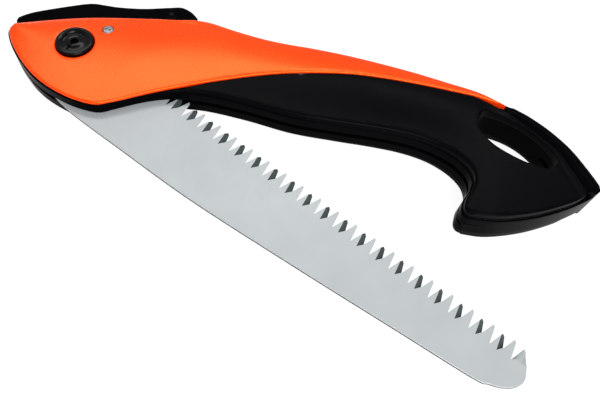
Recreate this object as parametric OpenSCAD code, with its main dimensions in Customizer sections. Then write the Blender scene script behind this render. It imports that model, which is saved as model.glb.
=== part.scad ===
// Folding pruning saw: two-part plastic handle with soft grips, painted side covers,
// a pull-cut blade on a pivot bolt and a sprung lock lever on the spine.
// It lies on its side. The pivot axis is X = Y = 0, +X runs to the tail, +Y to the spine
// and +Z to the upper (near) side. Millimetres. Heights named h_ are measured from the blade plane.

/* [Blade] */
// Angle of the tooth line in the modelled half-open pose, degrees
blade_angle = -23.6; // [-24:0.1:-23]
// Thickness of the blade plate
blade_t = 1.2; // [1.0:0.1:1.3]
// Distance of the tooth points from the pivot axis, square to the tooth line
tooth_line = 11.5; // [11.3:0.1:11.7]
// Spacing of the teeth
tooth_pitch = 4.1; // [4.0:0.05:4.1]
// Number of teeth, odd because a single one follows the pairs at the nose
tooth_count = 41; // [39:2:41]
// Depth of an ordinary gullet
gullet = 4.7; // [4.2:0.1:5.0]
// Depth of every second, deeper gullet
deep_gullet = 6.6; // [6:0.1:7]

/* [Handle] */
// Height of the blade plane above the face the saw lies on
mid_z = 9.5; // [9.5:0.1:10]
// Width of the blade slot
slot_w = 2.2; // [2.2:0.1:2.4]
// Height of each frame shell's outer face from the blade plane
h_frame = 5.2; // [5.2:0.1:5.3]
// Height of the head's cover face from the blade plane
h_head = 7.0; // [6.8:0.1:7.2]
// Height of the grip face from the blade plane
h_grip = 9.5; // [9.2:0.1:9.5]
// Height of the raised rim round the tail from the blade plane
h_rim = 8.2; // [7.6:0.1:8.4]

/* [Pivot] */
// Radius of the pivot bolt head
bolt_head_r = 7.3; // [7:0.1:7.4]
// Radius of the sleeve the blade turns on
sleeve_r = 4.0; // [3.8:0.1:4.2]
// Radial clearance of the turning fits
run_clear = 0.05; // [0.03:0.01:0.08]

/* [Lock] */
// Radius of the lock pin carried by the lever
lock_pin_r = 1.25; // [1.2:0.05:1.3]
// Half width of the lever across the saw
lever_half = 4.9; // [4.6:0.1:4.9]

/* [Hidden] */
$fn = 64;
eps = 0.02;
h_slot = slot_w / 2;
// Lever screw axis and lock pin axis
lever_axis = [9.3, 10.7];
lock_pin_at = [-14, 15.2];
// Front and rear pins that hold the steel plate in the lever
plate_pins_at = [[2.6, 21.2], [29.3, 28.9]];
plate_pin_r = 1.0;
plate_half = 0.9;
lever_shank_r = 1.5;
stop_pin_at = [30, 10.6];
stop_pin_r = 1.5;
tang_r = 10;
// Where the deep gullet behind the last tooth lies, measured along the tooth line from the pivot axis
last_root_x = 200.25;
// M6 pivot bolt, the height its shank reaches in the nut, and the nut across its flats
bolt_r = 3.0;
bolt_end = 8.0;
nut_flats = 10;
nut_flange_top = 7.4;
spring_washer_t = 0.46;
// Height of the bolt head's ring above the cover, its bevel, and the direction of the slot in its dish
bolt_rise = 1.0;
bolt_bevel = 0.45;
bolt_slot_angle = -106;
// Radial play of a pin in a tight seat, of a screw shank, and round a screw or washer
seat_clear = 0.02;
shank_clear = 0.03;
screw_clear = 0.05;
washer_r = 9.0;
washer_t = 0.35;
spring_at = [22.5, 18.6];
spring_lean = 20;
spring_r = 1.6;
spring_wire = 0.35;
spring_len = 7.4;
spring_turns = 5;
// Screws that close the two shells: three along the spine and one in the hook
screws_at = [[62, 21.5], [104, 23.6], [142, 23.6], [178, -23.5]];
screw_r = 1.5;
screw_head_r = 2.7;
orange = [1.0, 0.36, 0.09];
black = [0.09, 0.09, 0.10];
soft_black = [0.13, 0.13, 0.14];
steel = [0.80, 0.83, 0.84];
zinc = [0.62, 0.63, 0.64];

// ---- Curves ----
function curve_point(a, b, c, d, t) = 0.5 * (2 * b + (c - a) * t
    + (2 * a - 5 * b + 4 * c - d) * t * t + (3 * b - a - 3 * c + d) * t * t * t);

// A smooth line through the points, without its last point, so runs join end to end
function run(p, n = 4) = [for (i = [0:len(p) - 2]) for (k = [0:n - 1])
    curve_point(p[max(i - 1, 0)], p[i], p[i + 1], p[min(i + 2, len(p) - 1)], k / n)];

// A smooth closed line through the points
function ring(p, n = 4) = [for (i = [0:len(p) - 1]) for (k = [0:n - 1])
    curve_point(p[(i + len(p) - 1) % len(p)], p[i], p[(i + 1) % len(p)], p[(i + 2) % len(p)], k / n)];

// ---- Outlines ----
frame_front = [[-28.1, 0.9], [-27.9, -2.2], [-24.5, -7.0], [-20.0, -11.5], [-15.2, -15.4], [-10.2, -18.9],
    [-4.5, -21.8], [2.0, -24.0], [8.8, -25.5], [14.5, -25.9], [19.3, -25.6], [22.0, -24.4]];
frame_belly = [[22.0, -24.4], [28.0, -19.9], [36.3, -14.3], [46, -10.0], [58, -7.8], [74, -7.2], [92, -7.5],
    [110, -5.6], [124, -3.8], [136, -2.9], [146, -3.6], [155, -6.2], [161, -10.2], [163.4, -14.6], [163.0, -19.0],
    [161.3, -23.4], [160.9, -27.6], [163.6, -31.0]];
frame_tail = [[163.6, -31.0], [175, -28.8], [188, -23.2], [199.5, -15.8], [208.6, -7.8], [210.7, -4.2],
    [209.4, -1.0], [200.8, 9.0], [193, 15.4], [185.3, 19.9], [174.3, 24.4], [164, 26.5], [150, 27.8], [125, 28.8],
    [106, 28.8], [91, 28.0], [80, 27.1], [69, 26.8], [57, 27.5], [47, 28.5], [43.4, 28.3]];
frame_brow = [[43.4, 24.7], [34, 22.8], [26, 21.2], [18, 19.6], [11, 18.2], [2, 15.4], [-6, 12.3], [-13.4, 8.9],
    [-22.8, 4.0], [-26.8, 2.1]];

cover_front = [[-27.6, 0.9], [-27.3, -2.0], [-23.9, -6.8], [-19.5, -11.1], [-14.8, -15.0], [-9.8, -18.4],
    [-4.3, -21.2], [2, -23.4], [8.8, -24.9], [14.5, -25.3], [19.0, -25.0], [21.6, -23.9]];
cover_belly = [[21.6, -23.9], [27.5, -20.0], [33.5, -15.7], [39.7, -11.5], [47.1, -7.0], [60.2, 0.1], [74.8, 7.0],
    [88.8, 12.3], [106.7, 17.4], [121.5, 20.0], [137.8, 21.8], [156, 23.0], [171.8, 23.0]];
cover_top = [[171.8, 23.0], [160, 25.6], [147, 26.9], [134, 27.8], [120, 28.1], [104, 28.0], [91, 27.3], [80, 26.3],
    [70, 26.0], [58, 26.7], [47.3, 27.8], [41.0, 27.2], [33.7, 25.0], [25, 22.8], [10, 18.4], [-2, 14.2],
    [-13.4, 9.1], [-22.8, 4.2], [-26.6, 2.0]];

grip_belly = [[48.2, -9.0], [58, -7.3], [74, -6.7], [92, -7.0], [110, -5.1], [124, -3.3], [136, -2.4], [146, -3.1],
    [155.2, -5.7], [161.4, -9.8], [163.9, -14.5], [163.5, -19.1], [161.8, -23.5], [161.4, -27.4], [163.9, -30.4]];
grip_tail = [[163.9, -30.4], [175, -28.2], [187.7, -22.6], [199.0, -15.3], [203.9, -10.9], [205.4, -8.0],
    [203.9, -5.4], [199.4, 0.6], [194.1, 7.2], [186.3, 12.6], [174.2, 19.2], [167, 21.2], [158, 22.4]];
grip_seam = [[158, 22.4], [137.8, 21.2], [121.5, 19.4], [106.7, 16.8], [88.8, 11.7], [74.8, 6.4], [60.2, -0.5],
    [50.6, -6.0]];

hang_hole = [[161.4, 13.8], [163.6, 16.7], [168.5, 17.0], [175.7, 15.7], [182.5, 13.0], [188.5, 8.9], [192.9, 3.9],
    [193.4, 0.4], [190.9, -2.4], [185.5, -3.1], [178.1, -1.8], [170.5, 0.9], [165.5, 4.2], [161.9, 8.4]];

lever_top = [[-28.3, 5.1], [-28.7, 6.6], [-25.5, 10.4], [-20.3, 14.3], [-8.5, 21.7], [-3.3, 24.2], [1.3, 24.9],
    [6.7, 25.6], [13.1, 27.1], [19.3, 29.1], [28.8, 33.2], [31.9, 34.2], [34.6, 33.8], [37.3, 32.7], [39.9, 30.7]];
lever_under = [[39.9, 30.7], [39.2, 28.9], [25, 23.7], [18, 21.4], [10, 18.9], [-2, 14.7], [-13.4, 9.6],
    [-22.8, 4.8], [-27.3, 3.1]];

blade_back = [[-4.0, -8.8], [0.1, -14.0], [4.2, -17.7], [4.95, -19.15], [6.0, -19.5], [7.12, -17.7], [7.9, -17.3],
    [9.0, -17.6], [9.55, -18.8], [9.9, -20.2], [10.6, -21.1]];
blade_spine = [[10.6, -21.1], [21, -21.9], [44.6, -21.3], [80.7, -19.9], [124.8, -15.8], [164.3, -11.6],
    [193.2, -8.5], [198.4, -6.9], [202.2, -5.2], [205.4, -2.7], [206.9, 0.0], [206.9, 2.7], [205.5, 6.0]];
blade_shoulder = [[22, 9.4], [16, 8.6], [12, 6.9], [8.5, 6.3], [5.2, 8.0], [0, 4]];

module frame_outline() {
    polygon(concat(run(frame_front), run(frame_belly), run(frame_tail), [frame_tail[len(frame_tail) - 1]],
        run(frame_brow)));
}

module hole_outline() {
    polygon(ring(hang_hole));
}

// Teeth point to +Y and cut on the pull, so the steep flank faces the pivot. A pair starts at its deep
// gullet. Each point is [distance along the tooth line in pitches, depth below the tooth line in mm].
tooth_pair = [[0, deep_gullet], [0.33, 2.3], [0.49, 0.15], [0.72, 0.9], [1.09, gullet], [1.31, 1.9], [1.45, 0],
    [1.66, 0.65]];
last_tooth = [for (i = [0:3]) tooth_pair[i]];
function placed_tooth(x, points) = [for (i = [len(points) - 1:-1:0])
    [x + points[i][0] * tooth_pitch, tooth_line - points[i][1]]];
tooth_points = [for (k = [0:(tooth_count - 1) / 2])
    for (q = placed_tooth(last_root_x - 2 * k * tooth_pitch, k == 0 ? last_tooth : tooth_pair)) q];

module blade_outline() {
    difference() {
        union() {
            circle(r = tang_r);
            polygon(concat(run(blade_back, 2), run(blade_spine), tooth_points, blade_shoulder));
        }
        circle(r = sleeve_r + run_clear);
    }
}

// Side profile that limits the covers and grips: flat head, a gentle rise, flat grip
module face_profile() {
    translate([0, -60, 0])
        rotate([90, 0, 0])
            mirror([0, 0, 1])
                linear_extrude(120)
                    polygon([[-40, h_frame], [220, h_frame], [220, h_grip - 1.5], [204, h_grip],
                        [112, h_grip], [44, h_head + 0.6], [20, h_head], [-40, h_head]]);
}

module at_mid() {
    translate([0, 0, mid_z])
        children();
}

module far_side() {
    translate([0, 0, mid_z])
        mirror([0, 0, 1])
            children();
}

// ---- Handle shells ----
// Bores and seats that both shells share
module shell_cuts() {
    translate([0, 0, -1])
        cylinder(h = 12, r = sleeve_r + run_clear);
    translate([lever_axis[0], lever_axis[1], -1])
        cylinder(h = 12, r = lever_shank_r + shank_clear);
    translate([stop_pin_at[0], stop_pin_at[1], -1])
        cylinder(h = 4.6, r = stop_pin_r + shank_clear);
    for (p = screws_at)
        translate([p[0], p[1], -1])
            cylinder(h = 12, r = screw_r + screw_clear);
    spring_pocket();
    translate([0, 0, -1])
        linear_extrude(12)
            hole_outline();
}

module spring_pocket() {
    translate([spring_at[0], spring_at[1], 0])
        rotate([0, 0, spring_lean])
            rotate([-90, 0, 0])
                translate([0, 0, -3.2])
                    cylinder(h = 12, r = spring_r + spring_wire + 0.25);
}

module shell_body() {
    difference() {
        union() {
            translate([0, 0, h_slot])
                linear_extrude(h_frame - h_slot)
                    frame_outline();
            // Raised rim along the spine of the tail, outside the grip
            translate([0, 0, h_frame - 0.5])
                linear_extrude(h_rim - h_frame + 0.5)
                    intersection() {
                        frame_outline();
                        polygon([[160, 40], [160, 26.7], [166, 25.0], [172.4, 23.2], [172.7, 20.6],
                            [175.5, 19.4], [186.7, 13.1], [194.6, 7.6], [199.9, 1.0], [204.5, -5.2],
                            [206.2, -8.0], [216, -8.0], [216, 40]]);
                    }
        }
        shell_cuts();
    }
}

module near_frame_shell() {
    color(black)
        at_mid()
            shell_body();
}

module far_frame_shell() {
    color(black)
        far_side()
            difference() {
                shell_body();
                for (p = screws_at)
                    translate([p[0], p[1], h_frame - 1.6])
                        cylinder(h = 3, r = screw_head_r + 0.15);
            }
}

// ---- Painted side covers ----
module cover_body() {
    difference() {
        intersection() {
            translate([0, 0, h_frame])
                linear_extrude(6)
                    polygon(concat(run(cover_front), run(cover_belly), run(cover_top)));
            face_profile();
        }
        translate([0, 0, h_frame - 1])
            cylinder(h = 6, r = bolt_head_r + 0.35);
        translate([0, 0, h_head - 0.5])
            cylinder(h = 0.5 + eps, r1 = bolt_head_r + 0.35, r2 = bolt_head_r + 0.85);
        translate([lever_axis[0], lever_axis[1], h_frame - 1])
            cylinder(h = 6, r = 2.35);
    }
}

module near_side_cover() {
    color(orange)
        at_mid()
            cover_body();
}

module far_side_cover() {
    color(orange)
        far_side()
            cover_body();
}

// ---- Soft grips ----
module grip_body() {
    difference() {
        intersection() {
            translate([0, 0, h_frame])
                linear_extrude(6)
                    polygon(concat(run(grip_belly), run(grip_tail), run(grip_seam), [[50.6, -6.0]]));
            face_profile();
        }
        translate([0, 0, h_frame - 1])
            linear_extrude(8)
                hole_outline();
    }
}

module near_grip() {
    color(soft_black)
        at_mid()
            grip_body();
}

module far_grip() {
    color(soft_black)
        far_side()
            grip_body();
}

// ---- Spacers that close the slot at the spine and under the hook ----
module spine_spacer() {
    color(black)
        at_mid()
            difference() {
                translate([0, 0, -h_slot])
                    linear_extrude(slot_w)
                        intersection() {
                            frame_outline();
                            polygon([[46, 40], [46, 17.5], [56, 15.6], [110, 17.6], [146, 18.4], [152, 12.6],
                                [158, 8.6], [190, 8.0], [212, 8.0], [212, 40]]);
                        }
                translate([0, 0, -5])
                    linear_extrude(10)
                        hole_outline();
                for (p = screws_at)
                    translate([p[0], p[1], -5])
                        cylinder(h = 10, r = screw_r + screw_clear);
            }
}

module tail_spacer() {
    color(black)
        at_mid()
            difference() {
                translate([0, 0, -h_slot])
                    linear_extrude(slot_w)
                        intersection() {
                            frame_outline();
                            polygon([[150, -40], [158, -17.8], [168, -17.4], [186, -15.6], [193, -14.6],
                                [198.8, -13.2], [203.0, -11.4], [206.4, -8.8], [208.1, -5.4], [207.9, -1.8],
                                [212, -0.8], [216, -10], [216, -40]]);
                        }
                for (p = screws_at)
                    translate([p[0], p[1], -5])
                        cylinder(h = 10, r = screw_r + screw_clear);
            }
}

// Socket screws put in from the far side; their heads are under the far cover and grip
module shell_screws() {
    color(zinc)
        far_side()
            for (p = screws_at)
                translate([p[0], p[1], 0])
                    difference() {
                        union() {
                            translate([0, 0, -h_frame + 0.8])
                                cylinder(h = 2 * h_frame - 2.4, r = screw_r);
                            translate([0, 0, h_frame - 1.6])
                                cylinder(h = 1.4, r = screw_head_r);
                        }
                        translate([0, 0, h_frame - 1.0])
                            cylinder(h = 2, r = 1.3, $fn = 6);
                    }
}

// ---- Blade ----
module saw_blade() {
    color(steel)
        at_mid()
            rotate([0, 0, blade_angle])
                translate([0, 0, -blade_t / 2])
                    linear_extrude(blade_t)
                        blade_outline();
}

// ---- Pivot ----
module pivot_bolt() {
    color(black)
        at_mid()
            difference() {
                union() {
                    translate([0, 0, h_frame + 0.05])
                        cylinder(h = h_head + bolt_rise - bolt_bevel - h_frame - 0.05, r = bolt_head_r);
                    translate([0, 0, h_head + bolt_rise - bolt_bevel - eps])
                        cylinder(h = bolt_bevel + eps, r1 = bolt_head_r, r2 = bolt_head_r - bolt_bevel);
                    translate([0, 0, -bolt_end])
                        cylinder(h = bolt_end + h_head - 0.6, r = bolt_r);
                }
                // Conical dish with a centre recess, a slot on one side and a dimple on the other
                translate([0, 0, h_head - 0.25])
                    cylinder(h = bolt_rise + 0.3, r1 = 1.6, r2 = bolt_head_r - 1.2);
                translate([0, 0, h_head - 1])
                    cylinder(h = 2, r = 1.4);
                rotate([0, 0, bolt_slot_angle]) {
                    translate([1.2, -0.5, h_head - 0.5])
                        cube([3.4, 1, 2]);
                    translate([-3.1, 0, h_head - 0.4])
                        cylinder(h = 2, r = 0.55);
                }
            }
}

// Closed hexagon nut on a round flange; its flat end lies in the plane of the far grip
module pivot_nut() {
    color(black)
        far_side()
            difference() {
                union() {
                    translate([0, 0, h_frame + spring_washer_t + 0.09])
                        cylinder(h = nut_flange_top - h_frame - spring_washer_t - 0.09, r = bolt_head_r);
                    translate([0, 0, nut_flange_top - eps])
                        cylinder(h = h_grip - nut_flange_top + eps, r = nut_flats / 2 / cos(30), $fn = 6);
                }
                translate([0, 0, h_frame - 1])
                    cylinder(h = bolt_end + 0.2 - h_frame + 1, r = bolt_r + seat_clear);
            }
}

module pivot_sleeve() {
    color(zinc)
        at_mid()
            difference() {
                translate([0, 0, -h_frame + 0.1])
                    cylinder(h = 2 * h_frame - 0.2, r = sleeve_r);
                translate([0, 0, -10])
                    cylinder(h = 20, r = bolt_r + seat_clear);
            }
}

module thrust_washer() {
    difference() {
        translate([0, 0, h_slot - washer_t - 0.03])
            cylinder(h = washer_t, r = washer_r);
        cylinder(h = 5, r = sleeve_r + run_clear);
    }
}

module near_washer() {
    color(zinc)
        at_mid()
            thrust_washer();
}

module far_washer() {
    color(zinc)
        far_side()
            thrust_washer();
}

module spring_washer() {
    color(zinc)
        far_side()
            difference() {
                translate([0, 0, h_frame + 0.04])
                    cylinder(h = spring_washer_t, r = bolt_head_r - 0.8);
                translate([0, 0, h_frame - 1])
                    cylinder(h = 4, r = bolt_r + 0.1);
            }
}

module stop_pin() {
    color(zinc)
        at_mid()
            translate([stop_pin_at[0], stop_pin_at[1], -3.5])
                cylinder(h = 7, r = stop_pin_r);
}

// ---- Lock lever ----
module lock_lever() {
    color(black)
        at_mid()
            difference() {
                translate([0, 0, -lever_half])
                    linear_extrude(2 * lever_half)
                        polygon(concat(run(lever_top), run(lever_under), [[-27.3, 3.1]]));
                // Fork for the blade's heel at the front
                translate([-40, 0, -1.3])
                    cube([38, 40, 2.6]);
                // Slot for the steel plate
                translate([0, 0, -plate_half - 0.1])
                    linear_extrude(2 * plate_half + 0.2)
                        polygon([[-3, 10], [-3, 21.6], [1.3, 22.8], [6.7, 23.5], [13.1, 25], [19.3, 27],
                            [28.8, 31], [33, 31.8], [37.2, 30.2], [38, 20]]);
                for (p = plate_pins_at)
                    translate([p[0], p[1], -10])
                        cylinder(h = 20, r = plate_pin_r + seat_clear);
                translate([lock_pin_at[0], lock_pin_at[1], -10])
                    cylinder(h = 20, r = lock_pin_r + seat_clear);
                spring_seat();
            }
}

module spring_seat() {
    translate([spring_at[0], spring_at[1], 0])
        rotate([0, 0, spring_lean])
            rotate([-90, 0, 0])
                translate([0, 0, 2])
                    cylinder(h = spring_len - 4.6, r = spring_r + spring_wire + 0.25);
}

module lever_plate() {
    color(steel)
        at_mid()
            difference() {
                union() {
                    translate([lever_axis[0], lever_axis[1], -plate_half])
                        cylinder(h = 2 * plate_half, r = 3.5);
                    translate([0, 0, -plate_half])
                        linear_extrude(2 * plate_half)
                            polygon([[6.0, 10.7], [3.8, 16.5], [-1.4, 19.2], [-1.4, 21.6], [1.3, 22.5],
                                [6.7, 23.2], [13.1, 24.7], [19.3, 26.7], [28.8, 30.7], [32.4, 31.2],
                                [32.4, 27.4], [24.5, 25.4], [16, 22.6], [13.2, 17.5], [12.6, 10.7]]);
                }
                translate([lever_axis[0], lever_axis[1], -5])
                    cylinder(h = 10, r = lever_shank_r + run_clear);
                for (p = plate_pins_at)
                    translate([p[0], p[1], -5])
                        cylinder(h = 10, r = plate_pin_r + seat_clear);
            }
}

module lock_pin() {
    color(zinc)
        at_mid()
            translate([lock_pin_at[0], lock_pin_at[1], -lever_half + 0.3])
                cylinder(h = 2 * lever_half - 0.6, r = lock_pin_r);
}

module plate_pins() {
    color(black)
        at_mid()
            for (p = plate_pins_at)
                translate([p[0], p[1], -lever_half + 0.1])
                    cylinder(h = 2 * lever_half - 0.2, r = plate_pin_r);
}

module lever_screw() {
    color(zinc)
        at_mid()
            translate([lever_axis[0], lever_axis[1], 0])
                difference() {
                    union() {
                        translate([0, 0, -h_frame - 1.2])
                            cylinder(h = 2 * h_frame + 1.4, r = lever_shank_r);
                        translate([0, 0, h_frame + 0.05])
                            cylinder(h = h_head - h_frame - 0.1, r = 2.15);
                    }
                    for (s = [-1, 1])
                        translate([0.75 * s, 0, h_head - 0.8])
                            cylinder(h = 2, r = 0.4, $fn = 24);
                }
}

module lever_nut() {
    color(zinc)
        far_side()
            translate([lever_axis[0], lever_axis[1], 0])
                difference() {
                    translate([0, 0, h_frame + 0.05])
                        cylinder(h = h_head - h_frame - 0.1, r = 2.15);
                    translate([0, 0, h_frame - 1])
                        cylinder(h = 6, r = lever_shank_r + seat_clear);
                }
}

// Compression coil that lifts the lever's tail and so presses the lock pin down
module lever_spring() {
    color(zinc)
        at_mid()
            translate([spring_at[0], spring_at[1], 0])
                rotate([0, 0, spring_lean])
                    rotate([-90, 0, 0])
                        translate([0, 0, -3.0])
                            linear_extrude(spring_len, twist = -360 * spring_turns, slices = 20 * spring_turns, $fn = 8)
                                translate([spring_r, 0])
                                    circle(r = spring_wire, $fn = 8);
}

near_frame_shell();
far_frame_shell();
near_side_cover();
far_side_cover();
near_grip();
far_grip();
spine_spacer();
tail_spacer();
shell_screws();
saw_blade();
pivot_bolt();
pivot_nut();
pivot_sleeve();
near_washer();
far_washer();
spring_washer();
stop_pin();
lock_lever();
lever_plate();
lock_pin();
plate_pins();
lever_screw();
lever_nut();
lever_spring();
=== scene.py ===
# Looks for the folding pruning saw. x and y are millimetres in the row's plan, and h is the height
# in millimetres above the blade's middle plane; Shape.make turns them into metres in the row frame.
import bmesh
import bpy
import math
import numpy as np
from mathutils import Matrix, Vector
from mathutils.geometry import delaunay_2d_cdt


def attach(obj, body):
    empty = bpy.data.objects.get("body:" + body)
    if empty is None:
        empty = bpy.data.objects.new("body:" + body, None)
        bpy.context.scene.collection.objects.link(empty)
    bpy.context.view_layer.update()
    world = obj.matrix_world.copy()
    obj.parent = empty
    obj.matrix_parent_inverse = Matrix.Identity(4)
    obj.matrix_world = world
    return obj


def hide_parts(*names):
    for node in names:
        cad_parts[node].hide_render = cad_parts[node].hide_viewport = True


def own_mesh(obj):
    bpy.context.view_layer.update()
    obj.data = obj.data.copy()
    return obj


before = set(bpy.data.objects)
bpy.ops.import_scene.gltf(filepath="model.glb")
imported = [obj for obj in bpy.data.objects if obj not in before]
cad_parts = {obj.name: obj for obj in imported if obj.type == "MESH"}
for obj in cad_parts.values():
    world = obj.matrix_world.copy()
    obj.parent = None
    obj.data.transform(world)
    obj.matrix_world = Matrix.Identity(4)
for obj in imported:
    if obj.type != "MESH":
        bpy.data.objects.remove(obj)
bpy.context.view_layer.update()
MID = 9.5  # height of the blade's middle plane above the rest plane
MM = 0.001

# ---- Outlines, the same lines as the solids ----
FRONT = [[-28.1, 0.9], [-27.9, -2.2], [-24.5, -7.0], [-20.0, -11.5], [-15.2, -15.4], [-10.2, -18.9],
         [-4.5, -21.8], [2.0, -24.0], [8.8, -25.5], [14.5, -25.9], [19.3, -25.6], [22.0, -24.4]]
BELLY = [[22.0, -24.4], [28.0, -19.9], [36.3, -14.3], [46, -10.0], [58, -7.8], [74, -7.2], [92, -7.5],
         [110, -5.6], [124, -3.8], [136, -2.9], [146, -3.6], [155, -6.2], [161, -10.2], [163.4, -14.6],
         [163.0, -19.0], [161.3, -23.4], [160.95, -27.2], [161.5, -29.2], [162.7, -30.4], [164.4, -30.75]]
TAIL = [[164.4, -30.75], [175, -28.8], [188, -23.2], [199.5, -15.8], [208.6, -7.8], [210.7, -4.2],
        [209.4, -1.0], [200.8, 9.0], [193, 15.4], [185.3, 19.9], [174.3, 24.4], [164, 26.5], [150, 27.8],
        [125, 28.8], [106, 28.8], [91, 28.0], [80, 27.1], [69, 26.8], [57, 27.5], [47, 28.5], [43.4, 28.3]]
BROW = [[43.4, 24.7], [34, 22.8], [26, 21.2], [18, 19.6], [11, 18.2], [2, 15.4], [-6, 12.3], [-13.4, 8.9],
        [-22.8, 4.0], [-26.8, 2.1]]
C_FRONT = [[-27.6, 0.9], [-27.3, -2.0], [-23.9, -6.8], [-19.5, -11.1], [-14.8, -15.0], [-9.8, -18.4],
           [-4.3, -21.2], [2, -23.4], [8.8, -24.9], [14.5, -25.3], [19.0, -25.0], [21.6, -23.9]]
C_BELLY = [[21.6, -23.9], [27.5, -20.0], [33.5, -15.7], [39.7, -11.5], [47.1, -7.0], [60.2, 0.1], [74.8, 7.0],
           [88.8, 12.3], [106.7, 17.4], [121.5, 20.0], [137.8, 21.8], [156, 23.0], [171.8, 23.0]]
C_TOP = [[171.8, 23.0], [160, 25.6], [147, 26.9], [134, 27.8], [120, 28.1], [104, 28.0], [91, 27.3],
         [80, 26.3], [70, 26.0], [58, 26.7], [47.3, 27.8], [41.0, 27.2], [33.7, 25.0], [25, 22.8], [10, 18.4],
         [-2, 14.2],
         [-13.4, 9.1], [-22.8, 4.2], [-26.6, 2.0]]
G_BELLY = [[48.2, -9.0], [58, -7.3], [74, -6.7], [92, -7.0], [110, -5.1], [124, -3.3], [136, -2.4],
           [146, -3.1], [155.2, -5.7], [161.4, -9.8], [163.9, -14.5], [163.5, -19.1], [161.8, -23.5],
           [161.45, -27.0],
           [162.0, -28.8], [163.1, -29.85], [164.7, -30.15]]
G_END = [[164.7, -30.15], [175, -28.2], [187.7, -22.6], [199.0, -15.3], [203.9, -10.9], [205.4, -8.0]]
G_CREASE = [[205.4, -8.0], [203.9, -5.4], [199.4, 0.6], [194.1, 7.2], [186.3, 12.6], [174.2, 19.2],
            [167, 21.2], [158, 22.4]]
G_SEAM = [[158, 22.4], [137.8, 21.2], [121.5, 19.4], [106.7, 16.8], [88.8, 11.7], [74.8, 6.4], [60.2, -0.5],
          [50.6, -6.0]]
RIM = [[160, 26.7], [166, 25.0], [172.4, 23.2], [172.7, 20.6], [175.5, 19.4], [186.7, 13.1], [194.6, 7.6],
       [199.9, 1.0], [204.5, -5.2], [206.2, -8.0], [208.2, -8.1]]
HOLE = [[161.4, 13.8], [163.6, 16.7], [168.5, 17.0], [175.7, 15.7], [182.5, 13.0], [188.5, 8.9], [192.9, 3.9],
        [193.4, 0.4], [190.9, -2.4], [185.5, -3.1], [178.1, -1.8], [170.5, 0.9], [165.5, 4.2], [161.9, 8.4]]
L_TOP = [[-28.3, 5.1], [-28.7, 6.6], [-25.5, 10.4], [-20.3, 14.3], [-8.5, 21.7], [-3.3, 24.2], [1.3, 24.9],
         [6.7, 25.6], [13.1, 27.1], [19.3, 29.1], [28.8, 33.2], [31.9, 34.2], [34.6, 33.8], [37.3, 32.7],
         [39.9, 30.7]]
L_UNDER = [[39.9, 30.7], [39.2, 28.9], [25, 23.7], [18, 21.4], [10, 18.9], [-2, 14.7], [-13.4, 9.6],
           [-22.8, 4.8], [-27.3, 3.1]]
B_BACK = [[-4.0, -8.8], [0.1, -14.0], [4.2, -17.7], [4.95, -19.15], [6.0, -19.5], [7.12, -17.7], [7.9, -17.3],
          [9.0, -17.6], [9.55, -18.8], [9.9, -20.2], [10.6, -21.1]]
B_SPINE = [[10.6, -21.1], [21, -21.9], [44.6, -21.3], [80.7, -19.9], [124.8, -15.8], [164.3, -11.6],
           [193.2, -8.5], [198.4, -6.9], [202.2, -5.2], [205.4, -2.7], [206.9, 0.0],
            [206.9, 2.7], [205.5, 6.0]]
B_SHOULDER = [[22, 9.4], [16, 8.6], [12, 6.9], [8.5, 6.3], [5.2, 8.0], [0, 4]]


def curve(p, step=1.0, closed=False):
    """A smooth line through the points, sampled about every step; open lines keep both ends."""
    p = np.array(p, float)
    n = len(p)
    out = []
    for i in range(n if closed else n - 1):
        b, c = p[i], p[(i + 1) % n]
        a = p[i - 1] if closed or i else p[0]
        d = p[(i + 2) % n] if closed else p[min(i + 2, n - 1)]
        k = max(2, int(math.ceil(np.hypot(*(c - b)) / step)))
        for j in range(k):
            t = j / k
            out.append(0.5 * (2 * b + (c - a) * t + (2 * a - 5 * b + 4 * c - d) * t * t
                              + (3 * b - a - 3 * c + d) * t ** 3))
    if not closed:
        out.append(p[-1])
    return np.array(out)


def chain(*lines):
    """Lines joined end to end into one closed loop, without doubled points."""
    out = []
    for line in lines:
        for q in line:
            if not out or np.hypot(*(q - out[-1])) > 0.05:
                out.append(q)
    if np.hypot(*(out[0] - out[-1])) < 0.05:
        out.pop()
    return np.array(out)


def circle(x, y, r, n=64):
    """A closed loop of n points."""
    t = np.arange(n) * 2 * math.pi / n
    return np.stack([x + r * np.cos(t), y + r * np.sin(t)], 1)


def distance(p, line, closed=True):
    """Least distance from each point to the line's segments."""
    a = line if closed else line[:-1]
    b = np.roll(line, -1, 0) if closed else line[1:]
    best = np.full(len(p), 1e9)
    for s in range(0, len(p), 2000):
        q = p[s:s + 2000, None]
        d = b - a
        t = np.clip(((q - a) * d).sum(2) / np.maximum((d * d).sum(1), 1e-12), 0, 1)
        best[s:s + 2000] = np.sqrt((((a + d * t[..., None]) - q) ** 2).sum(2).min(1))
    return best


def soft_distance(p, line, power=5.0):
    """Distance to a line with the ridges smoothed, exact for a straight line."""
    mid = (line[1:] + line[:-1]) / 2
    size = np.hypot(*(line[1:] - line[:-1]).T)
    scale = math.sqrt(math.pi) * math.gamma((power - 1) / 2) / math.gamma(power / 2)
    out = np.zeros(len(p))
    for s in range(0, len(p), 2000):
        r2 = ((p[s:s + 2000, None] - mid) ** 2).sum(2) + 0.6
        out[s:s + 2000] = ((r2 ** (-power / 2) * size).sum(1) / scale) ** (-1 / (power - 1))
    return out


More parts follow.
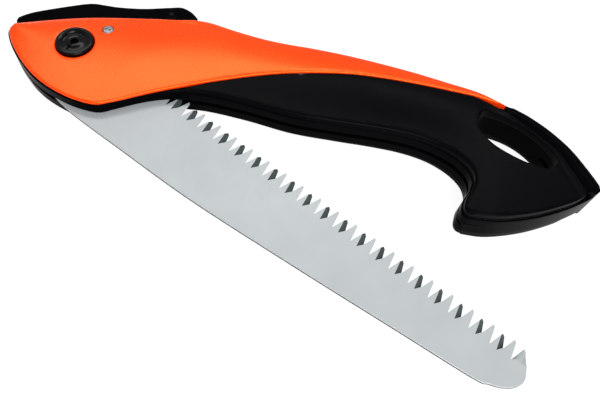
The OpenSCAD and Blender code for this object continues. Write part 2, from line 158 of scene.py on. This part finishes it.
def inside(p, loop):
    """Which points lie inside the closed loop, by counting crossings."""
    a, b = loop, np.roll(loop, -1, 0)
    out = np.zeros(len(p), bool)
    for s in range(0, len(p), 4000):
        x, y = p[s:s + 4000, 0:1], p[s:s + 4000, 1:2]
        cross = (a[:, 1] > y) != (b[:, 1] > y)
        with np.errstate(divide="ignore", invalid="ignore"):
            at = (b[:, 0] - a[:, 0]) * (y - a[:, 1]) / (b[:, 1] - a[:, 1]) + a[:, 0]
        out[s:s + 4000] = (cross & (x < at)).sum(1) % 2 == 1
    return out


def smooth(t):
    """Smooth step from 0 to 1."""
    t = np.clip(t, 0, 1)
    return t * t * (3 - 2 * t)


def fill(loops, extra):
    """Triangles between the first loop and the others, through the extra points."""
    pts = np.concatenate(loops + ([extra] if len(extra) else []))
    edges, at = [], 0
    for loop in loops:
        n = len(loop)
        edges += [(at + i, at + (i + 1) % n) for i in range(n)]
        at += n
    v, _, f, origin, _, _ = delaunay_2d_cdt([Vector(q) for q in pts], edges, [], 0, 1e-6)
    xy = np.array([tuple(q) for q in v])
    tri = np.array([t for t in f if len(t) == 3])
    mid = xy[tri].mean(1)
    keep = inside(mid, loops[0])
    for hole in loops[1:]:
        keep &= ~inside(mid, hole)
    tri = tri[keep]
    a, b, c = xy[tri[:, 0]], xy[tri[:, 1]], xy[tri[:, 2]]
    area = (b[:, 0] - a[:, 0]) * (c[:, 1] - a[:, 1]) - (b[:, 1] - a[:, 1]) * (c[:, 0] - a[:, 0])
    tri[area < 0] = tri[area < 0][:, ::-1]
    index = {}
    for new, olds in enumerate(origin):
        for old in olds:
            index[old] = new
    return xy, tri, index


class Shape:
    """Collects vertices (x, y, h) and faces, and turns them into one object."""

    def __init__(self):
        self.v, self.f, self.m = [], [], []

    def add(self, verts, faces, flip=False, mat=0):
        """Adds vertices, and faces that index them from 0."""
        at = len(self.v)
        self.v += [tuple(map(float, q)) for q in verts]
        for face in faces:
            face = [at + int(i) for i in face]
            self.f.append(face[::-1] if flip else face)
            self.m.append(mat)

    def shell(self, outer, holes, top, bottom, parts, hole_r, grid=1.3, side=1, mat=0):
        """A closed plate from h = bottom up to the surface top(xy), with rounded upper edges.
        parts is a list of (open line, edge radius) round the outside."""
        loops = [outer] + holes
        rings = []
        lines = [(line, False, r) for line, r in parts] + [(h, True, r) for h, r in zip(holes, hole_r)]

        def drop(p):
            out = np.zeros(len(p))
            for line, closed, r in lines:
                if r > 0:
                    d = np.minimum(distance(p, line, closed), r)
                    out = np.maximum(out, r - np.sqrt(np.maximum(r * r - (r - d) ** 2, 0)))
            return out

        def near(p):
            return np.min([distance(p, loop) for loop in loops], 0)

        def radius_at(p):
            d = np.array([distance(p, line, closed) for line, closed, r in lines])
            return np.array([r for _, _, r in lines])[d.argmin(0)]

        for k, loop in enumerate(loops):
            ahead, behind = np.roll(loop, -1, 0) - loop, loop - np.roll(loop, 1, 0)
            t = ahead / np.hypot(*ahead.T)[:, None] + behind / np.hypot(*behind.T)[:, None]
            n = np.stack([-t[:, 1], t[:, 0]], 1) / np.maximum(np.hypot(*t.T)[:, None], 1e-9)
            if k and ((loop * np.roll(loop, -1, 0)[:, ::-1]) @ [1, -1]).sum() > 0:
                n = -n
            r = radius_at(loop)
            for share in (0.08, 0.28, 0.58, 1.0):
                q = loop + n * (r * share)[:, None]
                rings.append(q[(near(q) > r * share * 0.97) & (r > 0.02)])
        lo, hi = outer.min(0), outer.max(0)
        rows = np.arange(lo[1], hi[1], grid * 0.866)
        pts = np.array([[x, y] for j, y in enumerate(rows)
                        for x in np.arange(lo[0] + (j % 2) * grid / 2, hi[0], grid)])
        ok = inside(pts, outer)
        for h in holes:
            ok &= ~inside(pts, h)
        pts = pts[ok]
        pts = pts[near(pts) > np.maximum(radius_at(pts), 0) + grid * 0.45]
        extra = np.concatenate(rings + [pts]) if rings else pts
        xy, tri, index = fill(loops, extra)
        h = top(xy) - drop(xy)
        self.add(np.column_stack([xy, h * side]), tri, side < 0, mat)
        bxy, btri, _ = fill(loops, [])
        self.add(np.column_stack([bxy, np.full(len(bxy), bottom * side)]), btri[:, ::-1], side < 0, mat)
        at = 0
        for loop in loops:
            n = len(loop)
            up = [h[index[at + i]] for i in range(n)]
            verts = [(*q, (bottom + (z - bottom) * t) * side)
                     for t in (0, 0.14, 0.86, 1) for q, z in zip(loop, up)]
            turn = ((loop * np.roll(loop, -1, 0)[:, ::-1]) @ [1, -1]).sum() < 0
            quads = [(k + i, k + (i + 1) % n, k + n + (i + 1) % n, k + n + i)
                     for k in (0, n, 2 * n) for i in range(n)]
            self.add(verts, quads, (side < 0) != (turn if at == 0 else not turn), mat)
            at += n

    def make(self, name, body, replaces=(), material=None, angle=40, weld=0.002):
        """Welds the shape into a mesh object that rides on the body and replaces the CAD nodes.
        material is one material, or the list that the faces' numbers point into."""
        mesh = bpy.data.meshes.new(name)
        co = [(x * MM, y * MM, (MID + h) * MM) for x, y, h in self.v]
        mesh.from_pydata(co, [], self.f)
        mesh.update()
        bm = bmesh.new()
        bm.from_mesh(mesh)
        for face, m in zip(bm.faces, self.m):
            face.material_index = m
        bmesh.ops.remove_doubles(bm, verts=bm.verts, dist=weld * MM)
        bmesh.ops.dissolve_degenerate(bm, dist=1e-7, edges=bm.edges)
        bmesh.ops.recalc_face_normals(bm, faces=bm.faces)
        bm.to_mesh(mesh)
        bm.free()
        for p in mesh.polygons:
            p.use_smooth = True
        mesh.set_sharp_from_angle(angle=math.radians(angle))
        obj = bpy.data.objects.new(name, mesh)
        bpy.context.scene.collection.objects.link(obj)
        for m in (material if isinstance(material, list) else [material]):
            mesh.materials.append(m)
        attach(obj, body)
        if replaces:
            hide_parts(*replaces)
        return obj


# ---- Materials ----
def surface(name, colour, rough, spec=0.5, metal=0.0, grain=(1, 1, 1), bump=(), edge_wear_and_highlight=None, spread=0.12,
            edge_wear_and_highlight_span=(0.54, 0.64)):
    """A principled surface with cloudy and fine noise in its colour, roughness and bump.
    grain: stretch of the fine noise. bump: list of (scale, height in mm, stretch).
    edge_wear_and_highlight: lighter colour on the sharper edges, used as a painted edge highlight, which
    fades in over the range edge_wear_and_highlight_span of the mesh's pointiness.
    spread: how far the colour varies either way."""
    m = bpy.data.materials.new(name)
    m.use_nodes = True
    nt = m.node_tree
    n, link = nt.nodes, nt.links.new
    bsdf = n["Principled BSDF"]
    bsdf.inputs["Metallic"].default_value = metal
    bsdf.inputs["Specular IOR Level"].default_value = spec
    coord = n.new("ShaderNodeTexCoord")

    def noise(scale, stretch=(1, 1, 1), detail=3.0):
        mp = n.new("ShaderNodeMapping")
        mp.inputs["Scale"].default_value = stretch
        link(coord.outputs["Object"], mp.inputs["Vector"])
        t = n.new("ShaderNodeTexNoise")
        t.inputs["Scale"].default_value = scale
        t.inputs["Detail"].default_value = detail
        link(mp.outputs["Vector"], t.inputs["Vector"])
        return t.outputs["Fac"]

    def ranged(value, lo, hi, a=0.3, b=0.7):
        r = n.new("ShaderNodeMapRange")
        r.inputs["From Min"].default_value = a
        r.inputs["From Max"].default_value = b
        r.inputs["To Min"].default_value = lo
        r.inputs["To Max"].default_value = hi
        link(value, r.inputs["Value"])
        return r.outputs["Result"]

    def mixed(factor, a, b):
        x = n.new("ShaderNodeMix")
        x.data_type = "RGBA"
        if isinstance(a, tuple):
            x.inputs["A"].default_value = (*a, 1)
        else:
            link(a, x.inputs["A"])
        x.inputs["B"].default_value = (*b, 1)
        link(factor, x.inputs["Factor"])
        return x.outputs["Result"]

    dark = tuple(c * (1 - spread) for c in colour)
    light = tuple(min(1, c * (1 + spread)) for c in colour)
    colour_out = mixed(ranged(noise(60), 0, 1), dark, light)
    # Painted edge highlight: the sharper edges, picked out by pointiness, take the lighter edge colour.
    if edge_wear_and_highlight:
        geo = n.new("ShaderNodeNewGeometry")
        edge = n.new("ShaderNodeMath")
        edge.operation = "MULTIPLY"
        link(ranged(geo.outputs["Pointiness"], 0, 1, *edge_wear_and_highlight_span), edge.inputs[0])
        link(ranged(noise(900), 0.2, 1), edge.inputs[1])
        colour_out = mixed(edge.outputs[0], colour_out, edge_wear_and_highlight)
    link(colour_out, bsdf.inputs["Base Color"])
    r = n.new("ShaderNodeMath")
    r.operation = "ADD"
    link(ranged(noise(45), rough * 0.92, rough * 1.08), r.inputs[0])
    link(ranged(noise(1600, grain, 2.0), -0.03, 0.03), r.inputs[1])
    link(r.outputs[0], bsdf.inputs["Roughness"])
    last = None
    for scale, height, stretch in bump:
        b = n.new("ShaderNodeBump")
        b.inputs["Strength"].default_value = 1.0
        b.inputs["Distance"].default_value = height * MM
        link(noise(scale, stretch, 2.0), b.inputs["Height"])
        if last:
            link(last, b.inputs["Normal"])
        last = b.outputs["Normal"]
    if last:
        link(last, bsdf.inputs["Normal"])
    return m


# The orange's lighter edge colour is a painted highlight: a light line along the cover's rounded edges.
ORANGE = surface("orange_plastic", (0.92, 0.04, 0.0003), 0.27, 0.5, bump=[(2600, 0.0025, (1, 1, 1))],
                 edge_wear_and_highlight=(1.0, 0.16, 0.03), edge_wear_and_highlight_span=(0.6, 0.7), spread=0.03)
ORANGE.node_tree.nodes["Principled BSDF"].inputs["Specular Tint"].default_value = (1.0, 0.95, 0.2, 1.0)
# The grip's lighter edge colour is a painted highlight along its sharper edges, such as the tail's near edge
# and the hang hole's rim.
GRIP = surface("soft_black", (0.0014, 0.0015, 0.0019), 0.32, 0.022, bump=[(3600, 0.006, (1, 1, 1))],
               edge_wear_and_highlight=(0.1, 0.1, 0.105), edge_wear_and_highlight_span=(0.56, 0.68))
# The black nylon's lighter edge colour is a painted highlight along its sharpest edges.
BLACK = surface("black_nylon", (0.0011, 0.0012, 0.0015), 0.25, 0.009, bump=[(3000, 0.003, (1, 1, 1))],
                edge_wear_and_highlight=(0.04, 0.04, 0.042), edge_wear_and_highlight_span=(0.64, 0.74))
BOLT = surface("black_gloss", (0.0006, 0.0006, 0.0008), 0.2, 0.16, bump=[(900, 0.002, (1, 1, 1))],
               edge_wear_and_highlight=(0.02, 0.02, 0.021), edge_wear_and_highlight_span=(0.64, 0.74))
STEEL = surface("blade_steel", (0.35, 0.372, 0.384), 0.42, 0.3, metal=0.12, grain=(1, 0.12, 1),
                bump=[(1500, 0.0012, (1, 0.1, 1)), (3000, 0.001, (1, 1, 1))], spread=0.04)
# Dark colour for the tooth bevels: a painted dark reflection, in place of the dark surroundings the bevels
# would mirror.
BEVEL_PAINTED_REFLECTION = surface("bevel_painted_reflection", (0.05, 0.062, 0.062), 0.4, 0.4, metal=0.3, grain=(0.2, 1, 1),
                 bump=[(4200, 0.002, (0.15, 1, 1))], spread=0.12)
# Near-black colour for the blade's edge walls along the back, shoulder and disc: painted shade for the thin
# dark outline of the edge.
EDGE_PAINTED_SHADE = surface("cut_edge_painted_shade", (0.012, 0.015, 0.015), 0.5, 0.08, grain=(0.2, 1, 1),
               bump=[(2400, 0.002, (0.2, 1, 1))], spread=0.15)
ZINC = surface("zinc_steel", (0.22, 0.23, 0.24), 0.34, 0.5, metal=0.6, bump=[(1800, 0.002, (1, 1, 1))],
               edge_wear_and_highlight=(0.6, 0.6, 0.6))

# ---- The handle's common outer surface ----
SEAT, SLOT = 5.2, 1.1  # heights of the seat under the covers and of the blade slot's wall
front, belly, tail, brow = curve(FRONT), curve(BELLY), curve(TAIL), curve(BROW)
outline = chain(front, belly, tail, brow)
corner = int(np.argmin(np.hypot(*(tail - [210.7, -4.2]).T)))
low_line = np.concatenate([front, belly[1:], tail[1:corner + 1]])
high_line = np.concatenate([tail[corner:], brow])
crease = curve(G_CREASE)
run = np.gradient(crease, axis=0)
GAP = 0.15  # between the grip and the bead
beside = crease + GAP * np.stack([run[:, 1], -run[:, 0]], 1) / np.hypot(*run.T)[:, None]
beside = beside[(beside[:, 0] > 173.2) & (beside[:, 0] < 205.6)]
rim_line = chain(curve(RIM[:4]), beside[::-1], np.array(RIM[-2:], float))


def face_height(p):
    """Crowned outer face of covers and grips."""
    x = p[:, 0]
    low, high = soft_distance(p, low_line), soft_distance(p, high_line)
    w = (low / (low + high)) ** 1.7
    knots = [-28, 20, 44, 112, 148, 172, 205]
    edge = np.where(w < 0.5, np.interp(x, knots, [6.1, 6.1, 6.3, 7.0, 7.4, 9.1, 9.15]),
                    np.interp(x, knots, [6.2, 6.3, 6.8, 7.8, 8.0, 9.1, 9.15]))
    top = np.interp(x, [-28, 20, 44, 112, 205], [6.95, 7.0, 7.6, 9.45, 9.45])
    h = edge + (top - edge) * np.clip(4 * w * (1 - w), 0, 1)
    valley = smooth(distance(p, crease, False) / 6.0)
    back = smooth((x - 158) / 14)
    return h - (1 - valley) * back * np.maximum(h - 7.6, 0)


def frame_height(p):
    """Flat seat that the covers and grips lie on."""
    return np.full(len(p), SEAT)


def bead_height(p):
    """Rounded bead along the tail: steep outside, a gentle fall to the crease beside the grip."""
    d_out, d_in = distance(p, tail[corner:], False), distance(p, rim_line, False)
    wide = d_out + d_in
    u = d_out / np.maximum(wide, 1e-6)
    rise = smooth((wide - 0.2) / 3.6) * (0.3 + 0.7 * smooth((p[:, 0] - 166) / 16))
    up = np.sqrt(np.clip(1 - (1 - np.clip(u / 0.55, 0, 1)) ** 2.2, 0, 1))
    down = np.clip((u - 0.5) / 0.5, 0, 1) ** 2
    return 5.25 + (2.95 * up - 0.8 * down) * rise


rim_zone = np.array(rim_line.tolist() + [[216, -8], [216, 40], [160, 40]])
tail_edge = outline[inside(outline, rim_zone)]
tail_edge = tail_edge[tail_edge[:, 0] > 160.3]
bead_outline = chain(tail_edge, rim_line)

hole = curve(HOLE, 0.8, True)
SCREW_AT = (9.3, 10.7)
bolt_seat, screw_seat = circle(0, 0, 7.65, 96), circle(*SCREW_AT, 2.35, 48)
cover_low = np.concatenate([curve(C_FRONT), curve(C_BELLY)[1:]])
cover_top = curve(C_TOP)
cover_outline = chain(cover_low, cover_top)
grip_low, grip_end, grip_seam = curve(G_BELLY), curve(G_END), curve(G_SEAM)
grip_outline = chain(grip_low, grip_end, crease, grip_seam)

for side, word in ((1, "near"), (-1, "far")):
    s = Shape()
    s.shell(cover_outline, [bolt_seat, screw_seat], face_height, SEAT,
            [(cover_low, 0.75), (cover_top, 0.75)], [0.5, 0.15], side=side)
    s.make(word + "_orange_cover", "handle", [word + "_side_cover"], ORANGE)
    s = Shape()
    s.shell(grip_outline, [hole], face_height, SEAT,
            [(grip_low, 1.3), (grip_end, 0.45), (crease, 0.3), (grip_seam, 0.3)],
            [0.5 if side > 0 else 2.0], side=side)
    s.make(word + "_soft_grip", "handle", [word + "_grip"], GRIP)
    s = Shape()
    s.shell(outline, [hole, circle(0, 0, 4.05, 48), circle(*SCREW_AT, 1.53, 32)], frame_height, SLOT,
            [(np.concatenate([front, belly[1:]]), 0.5), (tail[:corner + 1], 0.15), (tail[corner:], 0.3),
             (brow, 0.4)], [0, 0, 0], side=side)
    s.shell(bead_outline, [], bead_height, 5.0, [(rim_line, 0.12)], [], grid=0.7, side=side)
    s.make(word + "_shell", "handle", [word + "_frame_shell"], BLACK)

# ---- Lever ----
lever_top, lever_under = curve(L_TOP, 0.8), curve(L_UNDER, 0.8)
lever_outline = chain(lever_top[::-1], lever_under[::-1])
REAR_PIN = (29.3, 28.9)


def lever_height(p):
    """Flat cheek with a raised ring and a shallow groove round the rear pin."""
    r = np.hypot(*(p - REAR_PIN).T)
    ring = smooth((2.35 - r) / 0.35) * smooth((r - 1.05) / 0.25)
    return 4.85 - 0.25 * smooth((r - 2.4) / 0.8) * smooth((4.2 - r) / 0.8) + 0.04 * ring


s = Shape()
for side in (1, -1):
    s.shell(lever_outline, [circle(*REAR_PIN, 1.02, 32)], lever_height, 1.3,
            [(lever_top[::-1], 0.9), (lever_under[::-1], 0.4)], [0], grid=0.9, side=side)
web = chain(lever_top[lever_top[:, 0] > -2.2], curve([[39.9, 30.7], [39.2, 28.9], [38.2, 28.6]], 0.8),
            np.array([[37.2, 30.2], [33, 31.8], [28.8, 31], [19.3, 27], [13.1, 25], [6.7, 23.5], [1.3, 22.8],
                      [-2, 21.6]]))
xy, tri, _ = fill([web], [])
n = len(web)
s.add([(*q, 1.3) for q in xy], tri)
s.add([(*q, -1.3) for q in xy], tri[:, ::-1])
s.add([(*q, -1.3) for q in web] + [(*q, 1.3) for q in web],
      [(i, (i + 1) % n, n + (i + 1) % n, n + i) for i in range(n)])
s.make("lever_body", "lever", ["lock_lever"], BLACK)

# ---- Blade ----
PITCH, TIP_LINE, BLADE_T, PAIRS, LAST_ROOT = 4.1, 11.5, 1.2, 20, 200.25
DISC_R, BORE_R, BACK_BEVEL, CUT = 10, 4.05, 0.32, 0.17
ANGLE = math.radians(-23.6)
# One pair of teeth: (x in pitches from the deep root, depth) on the near and on the far face
PAIR = [((-0.03, -6.7), (-0.18, -7.6)), ((0.0, -6.6), (0.0, -6.6)), ((0.33, -2.3), (0.33, -2.3)),
        ((0.37, -1.9), (0.49, -0.15)), ((0.43, -2.3), (0.72, -0.9)), ((0.67, -7.1), (1.08, -4.8)),
        ((1.09, -4.7), (1.09, -4.7)), ((1.31, -1.9), (1.31, -1.9)), ((1.45, 0.0), (1.49, -1.5)),
        ((1.66, -0.65), (1.51, -1.6))]
# The last tooth at the nose, ground down to its root on the near face
LAST_TOOTH = [((-0.03, -6.7), (-0.18, -7.6)), ((0.0, -6.6), (0.0, -6.6)), ((0.28, -5.7), (0.33, -2.3)),
              ((0.5, -5.6), (0.49, -0.15)), ((0.8, -5.55), (0.72, -0.9))]


def blade_loops():
    """The plate's outline on the near and far face: back, nose, teeth, shoulder and the disc round
    the pivot, with the near face's inset along the back and the run of the teeth."""
    back = np.concatenate([curve(B_BACK, 0.5), curve(B_SPINE, 1.2)[1:]])
    first = int(np.argmax(np.hypot(*back.T) > DISC_R))
    back = back[first:]
    teeth = []
    for pair in range(PAIRS + 1):
        x0 = LAST_ROOT - 2 * pair * PITCH
        for (a, b), (c, d) in reversed(PAIR if pair else LAST_TOOTH):
            teeth.append(((x0 + a * PITCH, TIP_LINE + b), (x0 + c * PITCH, TIP_LINE + d)))
    near_t, far_t = np.array([t[0] for t in teeth]), np.array([t[1] for t in teeth])
    shoulder = np.array(B_SHOULDER, float)
    shoulder = shoulder[np.hypot(*shoulder.T) > DISC_R]
    a0 = math.radians(45.5)
    a1 = math.atan2(back[0][1], back[0][0]) + 2 * math.pi
    arc = np.array([[DISC_R * math.cos(t), DISC_R * math.sin(t)] for t in np.linspace(a0, a1 - 0.03, 48)])
    near = np.concatenate([back, near_t, shoulder, arc])
    far = np.concatenate([back, far_t, shoulder, arc])
    nb = len(back)
    t = np.gradient(back, axis=0)
    t /= np.hypot(*t.T)[:, None]
    inset = np.zeros_like(near)
    inset[:nb] = np.stack([-t[:, 1], t[:, 0]], 1) * BACK_BEVEL
    return near, far, inset, nb, nb + len(near_t)


def turned(p, h):
    """The blade's own plan, turned to where the blade is at rest, at height h."""
    co, si = math.cos(ANGLE), math.sin(ANGLE)
    return np.column_stack([p[:, 0] * co - p[:, 1] * si, p[:, 0] * si + p[:, 1] * co, np.full(len(p), h)])


near, far, inset, nb, nt = blade_loops()
half, bit = BLADE_T / 2, (far - near) * (CUT / BLADE_T)
levels = [(near + inset, half), (near + bit + inset * 0.07, half - CUT),
          (far - bit + inset * 0.07, -half + CUT), (far + inset, -half)]
s = Shape()
count = len(near)
for p, h in levels:
    s.v += [tuple(q) for q in turned(p, h)]
for k in range(3):
    for i in range(count):
        j = (i + 1) % count
        a = k * count
        s.f.append([a + i, a + count + i, a + count + j, a + j])
        # Faces numbered 1, the tooth bevels, take the painted dark reflection; faces numbered 2, the edge
        # walls off the teeth, take the painted shade of the cut edge.
        if nb + len(LAST_TOOTH) <= i < nt:
            s.m.append(1)
        else:
            toothless = i < nb - 1 or i >= nt
            s.m.append(2 if k and toothless else 0)
bore = circle(0, 0, BORE_R, 64)
for loop, h, flip in ((near + inset, half, False), (far + inset, -half, True)):
    xy, tri, _ = fill([loop, bore], [])
    s.add(turned(xy, h), tri, flip)
b0, b1 = turned(bore, -half), turned(bore, half)
s.add(np.concatenate([b0, b1]), [((i + 1) % 64, i, 64 + i, 64 + (i + 1) % 64) for i in range(64)])
s.make("blade_plate", "blade", ["saw_blade"], [STEEL, BEVEL_PAINTED_REFLECTION, EDGE_PAINTED_SHADE], angle=12)


# ---- Pivot bolt and lever screw ----
def lathe(s, profile, n=96, height=None, at=(0, 0)):
    """Turns (r, h) points round the axis; height(r, angle, h) may change h."""
    rows = []
    for r, h in profile:
        row = []
        for k in range(n):
            a = 2 * math.pi * k / n
            z = height(r, a, h) if height else h
            row.append((at[0] + r * math.cos(a), at[1] + r * math.sin(a), z))
        rows.append(row)
    base = len(s.v)
    for row in rows:
        s.v += row
    for k in range(len(rows) - 1):
        for i in range(n):
            j = (i + 1) % n
            a = base + k * n
            s.f.append([a + i, a + j, a + n + j, a + n + i])
            s.m.append(0)
    s.f.append([base + i for i in range(n)][::-1])
    s.m.append(0)
    s.f.append([base + (len(rows) - 1) * n + i for i in range(n)])
    s.m.append(0)


def cone_marks(r, a, h):
    """A slot towards the lower edge and a small round dimple towards the upper one."""
    if r > 5.6 or h < 5.9:
        return h
    x, y = r * math.cos(a - DOWN), r * math.sin(a - DOWN)
    slot = float(smooth((0.5 - abs(y)) / 0.25) * smooth((x - 1.2) / 0.3) * smooth((4.6 - x) / 0.4))
    dot = float(smooth((0.55 - math.hypot(x + 3.1, y)) / 0.3))
    return h - 0.55 * max(slot, dot)


DOWN = math.radians(-106)
s = Shape()
fine = [(6.0 - 4.4 * t, 7.95 - 0.95 * float(smooth(t / 0.4)) + 0.45 * float(smooth((t - 0.4) / 0.6)))
        for t in np.linspace(0, 1, 40)]
lathe(s, [(3.0, -8.0), (3.0, 5.25), (7.3, 5.25), (7.3, 7.5), (7.24, 7.72), (7.05, 7.92), (6.8, 8.0),
          (6.35, 8.03), (6.12, 8.01)] + fine + [(1.45, 6.72), (1.3, 6.4), (1.25, 6.0)],
      144, cone_marks)
s.make("pivot_bolt_head", "handle", ["pivot_bolt"], BOLT, angle=35)


def two_dots(r, a, h):
    """Two round driver holes in the lever screw's head."""
    x, y = r * math.cos(a), r * math.sin(a)
    if h < 6 or r > 1.7:
        return h
    d = min(math.hypot(x - 0.75, y), math.hypot(x + 0.75, y))
    return h - 0.6 * float(smooth((0.46 - d) / 0.12))


s = Shape()
lathe(s, [(1.5, -6.4), (1.5, 5.25), (2.15, 5.25), (2.15, 6.45), (2.05, 6.62), (1.9, 6.7)]
      + [(r, 6.75 + 0.1 * (1 - (r / 1.8) ** 2)) for r in np.arange(1.75, 0.04, -0.085)],
      72, two_dots, at=SCREW_AT)
s.make("lever_screw_head", "handle", ["lever_screw"], ZINC, angle=45)

# ---- Return spring under the lever ----
SPRING_AT, SPRING_LEAN, COIL_R, WIRE_R, SPRING_LEN, TURNS = (22.5, 18.6), math.radians(20), 1.6, 0.33, 7.4, 5
along = np.array([-math.sin(SPRING_LEAN), math.cos(SPRING_LEAN), 0])
across = np.array([math.cos(SPRING_LEAN), math.sin(SPRING_LEAN), 0])
foot = np.array([*SPRING_AT, 0]) - 3.0 * along
s = Shape()
steps, sides = 30 * TURNS, 10
for k in range(steps + 1):
    a = 2 * math.pi * TURNS * k / steps
    out = across * math.cos(a) + np.array([0, 0, math.sin(a)])
    rise = WIRE_R + 0.05 + (SPRING_LEN - 2 * WIRE_R - 0.1) * k / steps
    for j in range(sides):
        b = 2 * math.pi * j / sides
        up, wide = rise + WIRE_R * math.sin(b), COIL_R + WIRE_R * math.cos(b)
        s.v.append(tuple(foot + along * up + out * wide))
for k in range(steps):
    for j in range(sides):
        i = (j + 1) % sides
        s.f.append([k * sides + j, k * sides + i, (k + 1) * sides + i, (k + 1) * sides + j])
        s.m.append(0)
for k in (0, steps):
    s.f.append([k * sides + j for j in range(sides)])
    s.m.append(0)
spring = s.make("return_spring", "handle", ["lever_spring"], ZINC, angle=50)
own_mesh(spring)

# ---- CAD nodes that stay, each with the width of its rounded edges in mm, or 0 ----
for node, material, width in (
        ("spine_spacer", BLACK, 0), ("tail_spacer", BLACK, 0), ("shell_screws", ZINC, 0.1),
        ("pivot_nut", BOLT, 0.25), ("pivot_sleeve", ZINC, 0.1), ("near_washer", ZINC, 0.05),
        ("far_washer", ZINC, 0.05), ("spring_washer", ZINC, 0.05), ("stop_pin", ZINC, 0.15),
        ("lever_plate", ZINC, 0.1), ("lock_pin", ZINC, 0.12), ("plate_pins", BOLT, 0.12),
        ("lever_nut", ZINC, 0.12)):
    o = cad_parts[node]
    o.data.materials.clear()
    o.data.materials.append(material)
    if width:
        b = o.modifiers.new("edge", "BEVEL")
        b.width = width * MM
        b.segments = 2
        b.limit_method = "ANGLE"
        b.angle_limit = math.radians(40)

# ---- Floor, light and camera ----
floor_mat = surface("pale_floor", (0.14, 0.14, 0.14), 0.7, 0.1, spread=0.01)
glow = floor_mat.node_tree.nodes["Principled BSDF"].inputs
glow["Emission Color"].default_value = (1, 1, 1, 1)
glow["Emission Strength"].default_value = 0.92
mesh = bpy.data.meshes.new("floor")
mesh.from_pydata([(-4, -4, 0), (4, -4, 0), (4, 4, 0), (-4, 4, 0)], [], [(0, 1, 2, 3)])
mesh.materials.append(floor_mat)
floor = bpy.data.objects.new("floor", mesh)
floor.location.z = -0.0002
bpy.context.scene.collection.objects.link(floor)


def softbox(name, direction, dist, size, power, target=(0.09, 0.0, 0.01)):
    """A rectangular light in that direction from the target, facing it."""
    light = bpy.data.lights.new(name, "AREA")
    light.shape = "RECTANGLE"
    light.size, light.size_y = size
    light.energy = power
    o = bpy.data.objects.new(name, light)
    d = Vector(direction).normalized()
    o.location = Vector(target) + d * dist
    o.rotation_mode = "QUATERNION"
    o.rotation_quaternion = d.to_track_quat("Z", "Y")
    bpy.context.scene.collection.objects.link(o)
    return o


softbox("key", (0.33, -0.62, 0.76), 0.85, (0.5, 0.5), 7.6)
softbox("overhead", (-0.12, 0.51, 0.86), 1.0, (1.1, 0.18), 4.3)
softbox("back_strip", (-0.55, 0.8, 0.22), 0.8, (0.5, 0.2), 0.6)
softbox("front_strip", (0.2, -0.95, 0.28), 1.2, (1.2, 0.12), 0.35)

world = bpy.data.worlds.new("studio")
bpy.context.scene.world = world
world.use_nodes = True
world.node_tree.nodes["Background"].inputs["Color"].default_value = (1, 1, 1, 1)
world.node_tree.nodes["Background"].inputs["Strength"].default_value = 0.46

camera = bpy.data.cameras.new("camera")
camera.sensor_width = 36
camera.lens = 36.0
cam = bpy.data.objects.new("camera", camera)
eye = Vector((0.1171232, -0.1446278, 0.2013789))
right = Vector((0.96332493, 0.25749145, 0.07551971))
up = Vector((-0.26141455, 0.83702256, 0.48068250))
back = right.cross(up)
cam.matrix_world = Matrix(((right.x, up.x, back.x, eye.x), (right.y, up.y, back.y, eye.y),
                           (right.z, up.z, back.z, eye.z), (0, 0, 0, 1)))
bpy.context.scene.collection.objects.link(cam)
bpy.context.scene.camera = cam
bpy.context.scene.view_settings.view_transform = "Standard"
